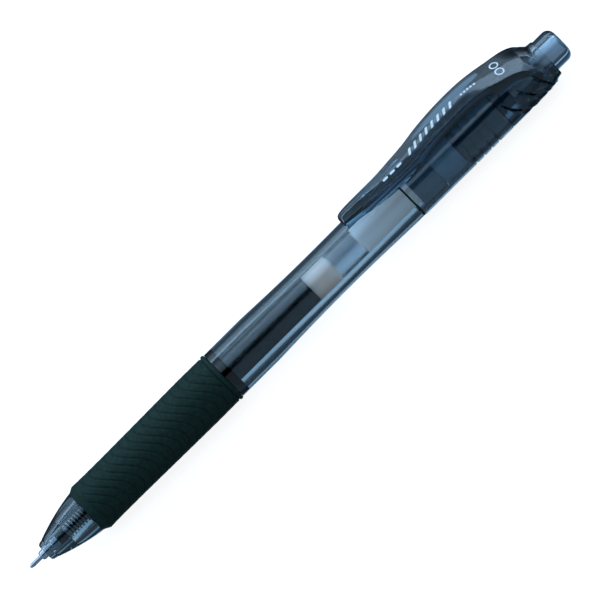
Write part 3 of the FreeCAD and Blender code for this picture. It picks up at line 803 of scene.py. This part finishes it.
class PEN_OT_cap_and_clip(bpy.types.Operator):
    """Build the cap with its sloped steps and the arched clip that grows out of it"""

    bl_idname = "pen.cap_and_clip"
    bl_label = "Cap and clip"

    def execute(self, context):
        clear_navy = finish_of("cap_clear_polycarbonate")
        clip = grid_skin("cap_with_clip", clip_rows(), clear_navy, True, 50)
        shares = [0, 0.012, 0.03, 0.05, 0.07, 0.11, 0.2, 0.3, 0.4, 0.55]
        shares += [0.7, 0.77, 0.83, 0.88, 0.93, 0.97, 0.995]
        columns = []
        for angle in full_turn(216):
            if angle > math.pi:
                angle -= 2 * math.pi
            columns.append(self.column(angle, shares))
        rows = [list(row) for row in zip(*columns)]
        cap = grid_skin("cap_body", rows, clear_navy, False, 50)
        self.combine(clip, lathe("bore_plug", BORE_PLUG, clear_navy, 128), "DIFFERENCE")
        self.combine(clip, cap, "UNION")
        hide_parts("clip_arm", "end_cap")
        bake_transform(clip)

        spigot = [
            (SPIGOT_AT, CAP_BORE + 0.04), (SPIGOT_AT, SPIGOT_RADIUS - 0.14),
            (SPIGOT_AT + 0.15, SPIGOT_RADIUS), (CAP_AT, SPIGOT_RADIUS), (CAP_AT, CAP_BORE),
            (SPIGOT_AT + 0.1, CAP_BORE),
        ]
        turn("cap_spigot", spigot, "cap_clear_polycarbonate", 128, "barrel", "cap_navy")
        return {"FINISHED"}

    def combine(self, keep, other, operation):
        """Unite two closed pieces into one moulding, or cut the other piece out of the kept one."""
        change = keep.modifiers.new("combine", "BOOLEAN")
        change.operation = operation
        change.solver = "EXACT"
        change.object = other
        bpy.context.view_layer.objects.active = keep
        keep.select_set(True)
        bpy.ops.object.modifier_apply(modifier=change.name)
        keep.select_set(False)
        bpy.data.objects.remove(other)

    def column(self, angle, shares):
        """The cap's outline at one angle: front face, stepped outside, rim and bore."""
        depth = in_mm("step_depth") * clamped((math.degrees(abs(angle)) - 46) / 14)
        edges = [CAP_AT + 0.06] + [step_edge(number, angle) for number in range(3)] + [RIM_AT]
        front = CAP_AT + SPIGOT_GAP
        outline = [(front, CAP_BORE + 0.02), (front, REAR_RADIUS - 0.2)]
        for number, (start, end) in enumerate(zip(edges, edges[1:])):
            for share in shares:
                x = start + (end - start) * share
                lift = step_relief(share)
                if (number == 0 and share < 0.4) or (number == 3 and share > 0.5):
                    lift = 0.0
                outline.append((x, cap_radius(x, angle) + lift * depth))
        rim = cap_radius(RIM_AT, angle)
        outline += [(RIM_AT, rim), (CAP_END - 0.12, rim - 0.04), (CAP_END, rim - 0.12), (CAP_END, 3.86)]
        outline += [(CAP_END - 0.04, BUTTON_RADIUS + 0.09), (139.0, BUTTON_RADIUS + 0.09)]
        outline += [(138.9, CAP_BORE), (front, CAP_BORE)]
        return [turned(x, r, angle) for x, r in outline]


class PEN_OT_marks(bpy.types.Operator):
    """Print plain marks on the clip: dashes, slanted bars, dots and two rings"""

    bl_idname = "pen.marks"
    bl_label = "Printed marks"

    def execute(self, context):
        for number in range(3):
            self.patch(f"mark_dash_{number + 1}", self.bar(102.5 + 1.9 * number, -0.6, 1.3, 0.5))
        for number in range(8):
            self.patch(f"mark_slant_{number + 1}", self.slant(109.6 + 1.7 * number, -0.3, 0.62, 1.35))
        for number in range(5):
            self.patch(f"mark_dot_{number + 1}", self.disc(124.5 + 0.8 * number, -0.35, 0.24, 0))
        for number, y in enumerate((1.1, -1.1)):
            self.patch(f"mark_ring_{number + 1}", self.disc(133.0, y, 0.95, 0.66))
        return {"FINISHED"}

    def slant(self, x, y, long, tall):
        """A leaning bar as one row of points inside another."""
        lean = 0.28 * tall
        rim = [(x - long / 2 - lean, y - tall / 2), (x + long / 2 - lean, y - tall / 2)]
        rim += [(x + long / 2 + lean, y + tall / 2), (x - long / 2 + lean, y + tall / 2)]
        return rim, self.halfway(x, y, rim)

    def bar(self, x, y, long, wide):
        """A bar with round ends as one row of points inside another."""
        steps = 10
        rim = []
        for end in (1, -1):
            for step in range(steps + 1):
                a = math.pi * (step / steps - 0.5)
                out = (long - wide) / 2 + wide / 2 * math.cos(a)
                rim.append((x + end * out, y + end * wide / 2 * math.sin(a)))
        return rim, self.halfway(x, y, rim)

    def halfway(self, x, y, rim):
        """A rim's points drawn halfway in to its middle."""
        return [(x + (px - x) * 0.5, y + (py - y) * 0.5) for px, py in rim]

    def disc(self, x, y, outer, inner):
        """A round mark as its rim and, for a ring, its inner rim."""
        rims = []
        for r in (outer, inner):
            rims.append([(x + r * math.cos(a), y + r * math.sin(a)) for a in full_turn(40)])
        return rims if inner else (rims[0], None)

    def patch(self, name, rims):
        """A very thin raised patch that follows the clip's top: a ring between two rims, or filled."""
        outer, inner = rims
        film, clearance = 0.012, 0.004
        hollow = name.startswith("mark_ring")
        levels = [(outer, 0.0), (outer, film)]
        if inner:
            levels.append((inner, film))
        if hollow:
            levels.append((inner, 0.0))
        mesh_data = bmesh.new()
        rings = []
        for rim, lift in levels:
            points = [place(x, y, clip_top(x, y) + clearance + lift) for x, y in rim]
            rings.append([mesh_data.verts.new(point) for point in points])
        for first, second in zip(rings, rings[1:]):
            join_rings(mesh_data, first, second)
        if hollow:
            join_rings(mesh_data, rings[-1], rings[0])
        else:
            mesh_data.faces.new(rings[0])
            mesh_data.faces.new(rings[-1])
        piece = finish_mesh(name, mesh_data, finish_of("white_pad_print"))
        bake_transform(piece)


class PEN_OT_button(bpy.types.Operator):
    """Build the clear push button and the light plunger inside it"""

    bl_idname = "pen.button"
    bl_label = "Push button and plunger"

    def execute(self, context):
        start, end = along("knock_button", 0), along("knock_button", 1)
        core, core_end, corner = 1.77, 145.2, 1.7
        flange, flange_end = 3.95, start + 1.5
        outer = [(start, flange - 0.1), (start + 0.1, flange), (flange_end - 0.1, flange)]
        outer += [(flange_end, flange - 0.1), (flange_end, BUTTON_RADIUS)]
        for step in range(11):
            a = math.pi / 2 * step / 10
            outer.append((end - corner + corner * math.sin(a), BUTTON_RADIUS - corner + corner * math.cos(a)))
        outer += [(end, 1.0), (end, 0.0), (core_end + 0.05, 0.0), (core_end + 0.05, core - 0.3)]
        outer += [(core_end - 0.25, core + 0.03), (start, core + 0.03)]
        turn("push_button_shell", outer, "button_clear_polycarbonate", 128,
             "button", "button_clear", "knock_button")

        front = along("cam_plunger", 0)
        body = [
            (front + 0.8, 0.0), (front + 0.8, 1.5), (front + 0.4, 2.0), (front + 0.4, 2.6),
            (start - 0.1, 2.6), (start - 0.1, core), (core_end - 0.3, core), (core_end, core - 0.3),
            (core_end, 0.0),
        ]
        turn("plunger_stem", softened(body, 0.1), "plunger_natural_acetal", 96, "button", "plunger_light")
        finish_node("cam_plunger", "works_satin_acetal")
        return {"FINISHED"}


class PEN_OT_works(bpy.types.Operator):
    """Give the guide tube and the rotor inside the rear barrel their finish"""

    bl_idname = "pen.works"
    bl_label = "Click works"

    def execute(self, context):
        for node in ("cam_guide", "cam_rotor"):
            finish_node(node, "works_satin_acetal")
        return {"FINISHED"}


# Places along the refill: start of the ink, the tip holder's neck and flange, and the end of the socket
# that takes the steel tip.
INK_AT, NECK_AT, FLANGE_AT, SOCKET_END = 31.05, 9.85, 25.0, 10.05


class PEN_OT_refill(bpy.types.Operator):
    """Build the refill: tube, ink, follower, tail and tip holder"""

    bl_idname = "pen.refill"
    bl_label = "Refill"

    def execute(self, context):
        outer, bore = radius("refill_tube"), 2.6
        start, end = along("refill_tube", 0), along("refill_tube", 1)
        end -= 0.6
        tube = [(start, bore), (end, bore), (end, outer), (start, outer)]
        turn("refill_tube_wall", softened(tube, 0.15), "tube_clear_polypropylene", 128,
             "refill", "tube_clear", "refill_tube")

        wet = bore + 0.02
        ink_end, grease_end = along("ink_follower", 0) + 0.02, along("ink_follower", 1)
        ink = [(INK_AT, 0), (INK_AT, wet), (ink_end, wet), (ink_end + 0.35, wet - 0.9), (ink_end + 0.5, 0)]
        turn("gel_ink_fill", ink, "gel_ink", 96, "refill", "ink_black", "ink_column")
        grease = [(ink_end + 0.52, 0), (ink_end + 0.37, wet - 0.9), (ink_end + 0.02, wet)]
        grease += [(grease_end, wet), (grease_end - 0.25, wet - 0.7), (grease_end - 0.4, 0)]
        turn("follower_grease", grease, "grease_follower", 96, "refill", "grease", "ink_follower")

        tail_end = along("refill_tail", 1)
        tail = [
            (end - 0.3, 2.1), (end - 0.3, bore - 0.02), (end + 0.02, bore - 0.02), (end + 0.02, outer),
            (tail_end, outer), (tail_end, 2.1),
        ]
        turn("refill_tail_sleeve", softened(tail, 0.15), "tail_frosted_polypropylene", 96,
             "refill", "tail_frosted", "refill_tail")

        front, holder_end = along("tip_holder", 0), along("tip_holder", 1)
        head, neck = 1.3, 1.22
        holder = [
            (front, 0.8), (front, head), (NECK_AT - 0.1, head), (NECK_AT, neck), (FLANGE_AT, neck),
            (FLANGE_AT, 2.6), (FLANGE_AT + 0.6, 3.0), (start - 0.02, 3.0), (start - 0.02, bore - 0.02),
            (holder_end, bore - 0.02), (holder_end, 0.6), (SOCKET_END, 0.6), (SOCKET_END, 0.8),
        ]
        turn("tip_holder_plug", softened(holder, 0.08), "holder_satin_polypropylene", 96,
             "refill", "holder_black", "tip_holder")
        return {"FINISHED"}


class PEN_OT_writing_tip(bpy.types.Operator):
    """Build the needle, its shoulder and the writing ball"""

    bl_idname = "pen.writing_tip"
    bl_label = "Writing tip"

    def execute(self, context):
        steel = "steel_turned_stainless"
        lip, needle_end = along("needle_tube", 0), along("needle_tube", 1)
        needle = [
            (lip, 0.262), (lip, 0.30), (lip + 0.08, 0.335), (0.75, 0.47), (0.85, 0.48), (needle_end, 0.48),
            (needle_end, 0.285), (0.27, 0.285),
        ]
        turn("needle", needle, steel, 64, "refill", "steel", "needle_tube")
        front, end = along("tip_shell", 0), along("tip_shell", 1)
        nose, body, spigot = 1.0, 1.2, 0.78
        body_at, body_end, bore_end = 6.45, 7.9, 6.02
        shell = [
            (front, 0.49), (front, 0.64), (front + 0.05, 0.76), (front + 0.2, 0.91), (front + 0.47, nose),
            (body_at - 0.2, nose), (body_at, body), (body_end, body), (body_end, spigot),
            (end, spigot), (end, 0.4), (bore_end, 0.4), (bore_end, 0.49),
        ]
        turn("tip_shoulder", shell, steel, 96, "refill", "steel", "tip_shell")
        r = radius("tip_ball")
        angles = [math.pi * step / 24 for step in range(25)]
        ball = [(r - r * math.cos(a), r * math.sin(a)) for a in angles]
        turn("writing_ball", ball, steel, 48, "ball", "ball_carbide", "tip_ball")
        return {"FINISHED"}


COIL_RADIUS = 1.55
# From the tip holder's front to the face that the return spring bears on.
HOLDER_TO_SEAT = 17.08


class PEN_OT_springs(bpy.types.Operator):
    """Wind the return spring and the hair-fine spring behind the ball"""

    bl_idname = "pen.springs"
    bl_label = "Springs"

    def execute(self, context):
        wire_steel = finish_of("wire_drawn_stainless")
        wire = in_mm("spring_wire")
        seat = along("tip_holder", 0) + HOLDER_TO_SEAT
        start, end = along("return_spring", 0) + wire, seat - wire
        path = self.wound(start, end, COIL_RADIUS, wire * 2.02, 2.0)
        piece = coil("return_spring_coil", path, wire, wire_steel, 12)
        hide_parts("return_spring")
        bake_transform(piece)

        fine = 0.035
        small = coil("ball_spring_coil", self.wound(0.62, 5.6, 0.2, 0.42, 0.0), fine, wire_steel, 6)
        put(small, "refill", "spring_steel", "ball_spring")
        return {"FINISHED"}

    def wound(self, start, end, coil_radius, closed_pitch, closed_turns):
        """The wire's path: closed turns at both ends and even open turns between them."""
        if closed_turns:
            pitch = in_mm("spring_pitch")
            open_length = end - start - 2 * closed_turns * closed_pitch
            open_turns = round(open_length / pitch)
            stretches = [(closed_turns, closed_pitch), (open_turns, open_length / open_turns)]
            stretches.append((closed_turns, closed_pitch))
        else:
            stretches = [((end - start) / closed_pitch, closed_pitch)]
        path, x, turned, steps = [], start, 0.0, 28
        for turns, pitch in stretches:
            for step in range(int(turns * steps)):
                a = 2 * math.pi * turned
                path.append(Vector((x, -coil_radius * math.sin(a), coil_radius * math.cos(a))))
                x += pitch / steps
                turned += 1 / steps
        return path


# The dome's brightness by angle round the pen: 0 in front, 90 overhead, 180 behind and 270 underneath.
PANEL_PEAK = 8.0
PANELS = (
    (0, 0.4), (36, 0.35), (41, 0.0), (59, 0.0), (66, 0.8), (77, 1.3), (93, 1.7), (106, 1.2),
    (115, 0.65), (122, 0.55), (124, 4.4), (133, 4.4), (137, 1.8), (150, 1.8), (157, 0.8), (168, 0.3),
    (184, 0.1), (214, 0.1), (222, 0.28), (226, 0.3), (228, 1.05), (236, 1.05), (238, 0.4), (241, 1.2),
    (251, 1.1), (257, 0.1), (292, 0.08), (312, 0.4),
)


class PEN_OT_stage(bpy.types.Operator):
    """Lay a pale floor, set soft studio lights and aim the camera"""

    bl_idname = "pen.stage"
    bl_label = "Stage, lights and camera"

    def execute(self, context):
        scene = context.scene
        scene.view_settings.view_transform = "Standard"
        self.floor()
        self.world(scene)
        self.camera(scene, Vector((0, 0, AXIS_Z)))
        return {"FINISHED"}

    def floor(self):
        """A white acrylic sheet that only the camera sees, so that the dome alone lights the pen."""
        material, tree = blank_material("light_table_white_acrylic")
        settings = {
            "Base Color": (0.35, 0.35, 0.35, 1),
            "Specular IOR Level": 0.0,
            "Emission Color": (1, 1, 1, 1),
            "Emission Strength": 0.9,
        }
        shaded(material, tree, settings, {"Roughness": spread(tree, grain(tree, 4.0), 0.85, 0.95)})
        bpy.ops.mesh.primitive_plane_add(size=6.0, location=(0, 0, -0.0001))
        sheet = bpy.context.object
        sheet.name = "floor_sheet"
        sheet.data.materials.append(material)
        sheet.visible_diffuse = sheet.visible_glossy = sheet.visible_transmission = False

    def world(self, scene):
        """A studio dome whose brightness changes only with the angle round the pen, as long panels do."""
        world = bpy.data.worlds.new("panel_dome")
        world.use_nodes = True
        tree = world.node_tree
        tree.nodes.clear()
        where = add(tree, "ShaderNodeTexCoord")
        parts = add(tree, "ShaderNodeSeparateXYZ", links={"Vector": where.outputs["Generated"]})
        front = add(tree, "ShaderNodeMath", {"operation": "MULTIPLY", 1: -1.0}, {0: parts.outputs["Y"]})
        sides = {0: parts.outputs["Z"], 1: front.outputs[0]}
        angle = add(tree, "ShaderNodeMath", {"operation": "ARCTAN2"}, sides)
        to_turns = {"operation": "MULTIPLY", 1: 0.5 / math.pi}
        turns = add(tree, "ShaderNodeMath", to_turns, {0: angle.outputs[0]})
        whole = add(tree, "ShaderNodeMath", {"operation": "FRACT"}, {0: turns.outputs[0]})
        panels = add(tree, "ShaderNodeValToRGB", links={"Fac": whole.outputs[0]})
        ramp = panels.color_ramp
        while len(ramp.elements) > 1:
            ramp.elements.remove(ramp.elements[0])
        ramp.elements[0].position = 1.0
        ramp.elements[0].color = self.glow(PANELS[0][1])
        for degrees, level in PANELS:
            ramp.elements.new(degrees / 360).color = self.glow(level)
        glow = add(tree, "ShaderNodeBackground", {"Strength": PANEL_PEAK}, {"Color": panels.outputs["Color"]})
        add(tree, "ShaderNodeOutputWorld", links={"Surface": glow.outputs[0]})
        scene.world = world

    def glow(self, level):
        """A panel's colour at this brightness, a little on the cool side."""
        return with_alpha([channel * level / PANEL_PEAK for channel in linear("#bce0ff")])

    def camera(self, scene, target):
        """A long lens 47 degrees above the floor, rolled so that the pen runs up to the right."""
        elevation, roll, distance = math.radians(47), math.radians(44.8), 1.6
        direction = Vector((0, -math.cos(elevation), math.sin(elevation)))
        level = Vector((0, math.sin(elevation), math.cos(elevation)))
        east = Vector((1, 0, 0))
        right = east * math.cos(roll) - level * math.sin(roll)
        up = east * math.sin(roll) + level * math.cos(roll)
        across, above, field = 0.83, 0.78, 0.11712
        aim = target + right * across * MM + up * above * MM
        data = bpy.data.cameras.new("studio_camera")
        data.sensor_width = 36
        data.lens = data.sensor_width * distance / field
        data.clip_end = 20
        camera = bpy.data.objects.new("studio_camera", data)
        scene.collection.objects.link(camera)
        camera.matrix_world = self.looking(right, up, direction, aim + direction * distance)
        scene.camera = camera

    def looking(self, right, up, back, location):
        """The camera's placing, from its own axes and its place."""
        return Matrix([(right[i], up[i], back[i], location[i]) for i in range(3)] + [(0, 0, 0, 1)])


OPERATORS = (
    PEN_OT_stage,
    PEN_OT_front_barrel,
    PEN_OT_rear_barrel,
    PEN_OT_grip,
    PEN_OT_cap_and_clip,
    PEN_OT_marks,
    PEN_OT_button,
    PEN_OT_works,
    PEN_OT_refill,
    PEN_OT_writing_tip,
    PEN_OT_springs,
)


class PEN_PT_builder(bpy.types.Panel):
    """Lists the pen's pieces and settings"""

    bl_idname = "PEN_PT_builder"
    bl_label = "Gel pen builder"
    bl_space_type = "VIEW_3D"
    bl_region_type = "UI"
    bl_category = "Gel Pen"

    def draw(self, context):
        layout = self.layout
        for operator in OPERATORS:
            layout.operator(operator.bl_idname)
        for group in (context.scene.pen_sizes, context.scene.pen_colours):
            box = layout.box()
            for name in group.bl_rna.properties.keys():
                if name not in ("rna_type", "name"):
                    box.prop(group, name)


CLASSES = (PenSizes, PenColours, *OPERATORS, PEN_PT_builder)


def register():
    for item in CLASSES:
        bpy.utils.register_class(item)
    bpy.types.Scene.pen_sizes = bpy.props.PointerProperty(type=PenSizes)
    bpy.types.Scene.pen_colours = bpy.props.PointerProperty(type=PenColours)


def unregister():
    del bpy.types.Scene.pen_colours
    del bpy.types.Scene.pen_sizes
    for item in reversed(CLASSES):
        bpy.utils.unregister_class(item)


def main():
    """Build every piece in order."""
    register()
    for operator in OPERATORS:
        getattr(bpy.ops.pen, operator.bl_idname.split(".")[1])()


if __name__ == "__main__":
    main()
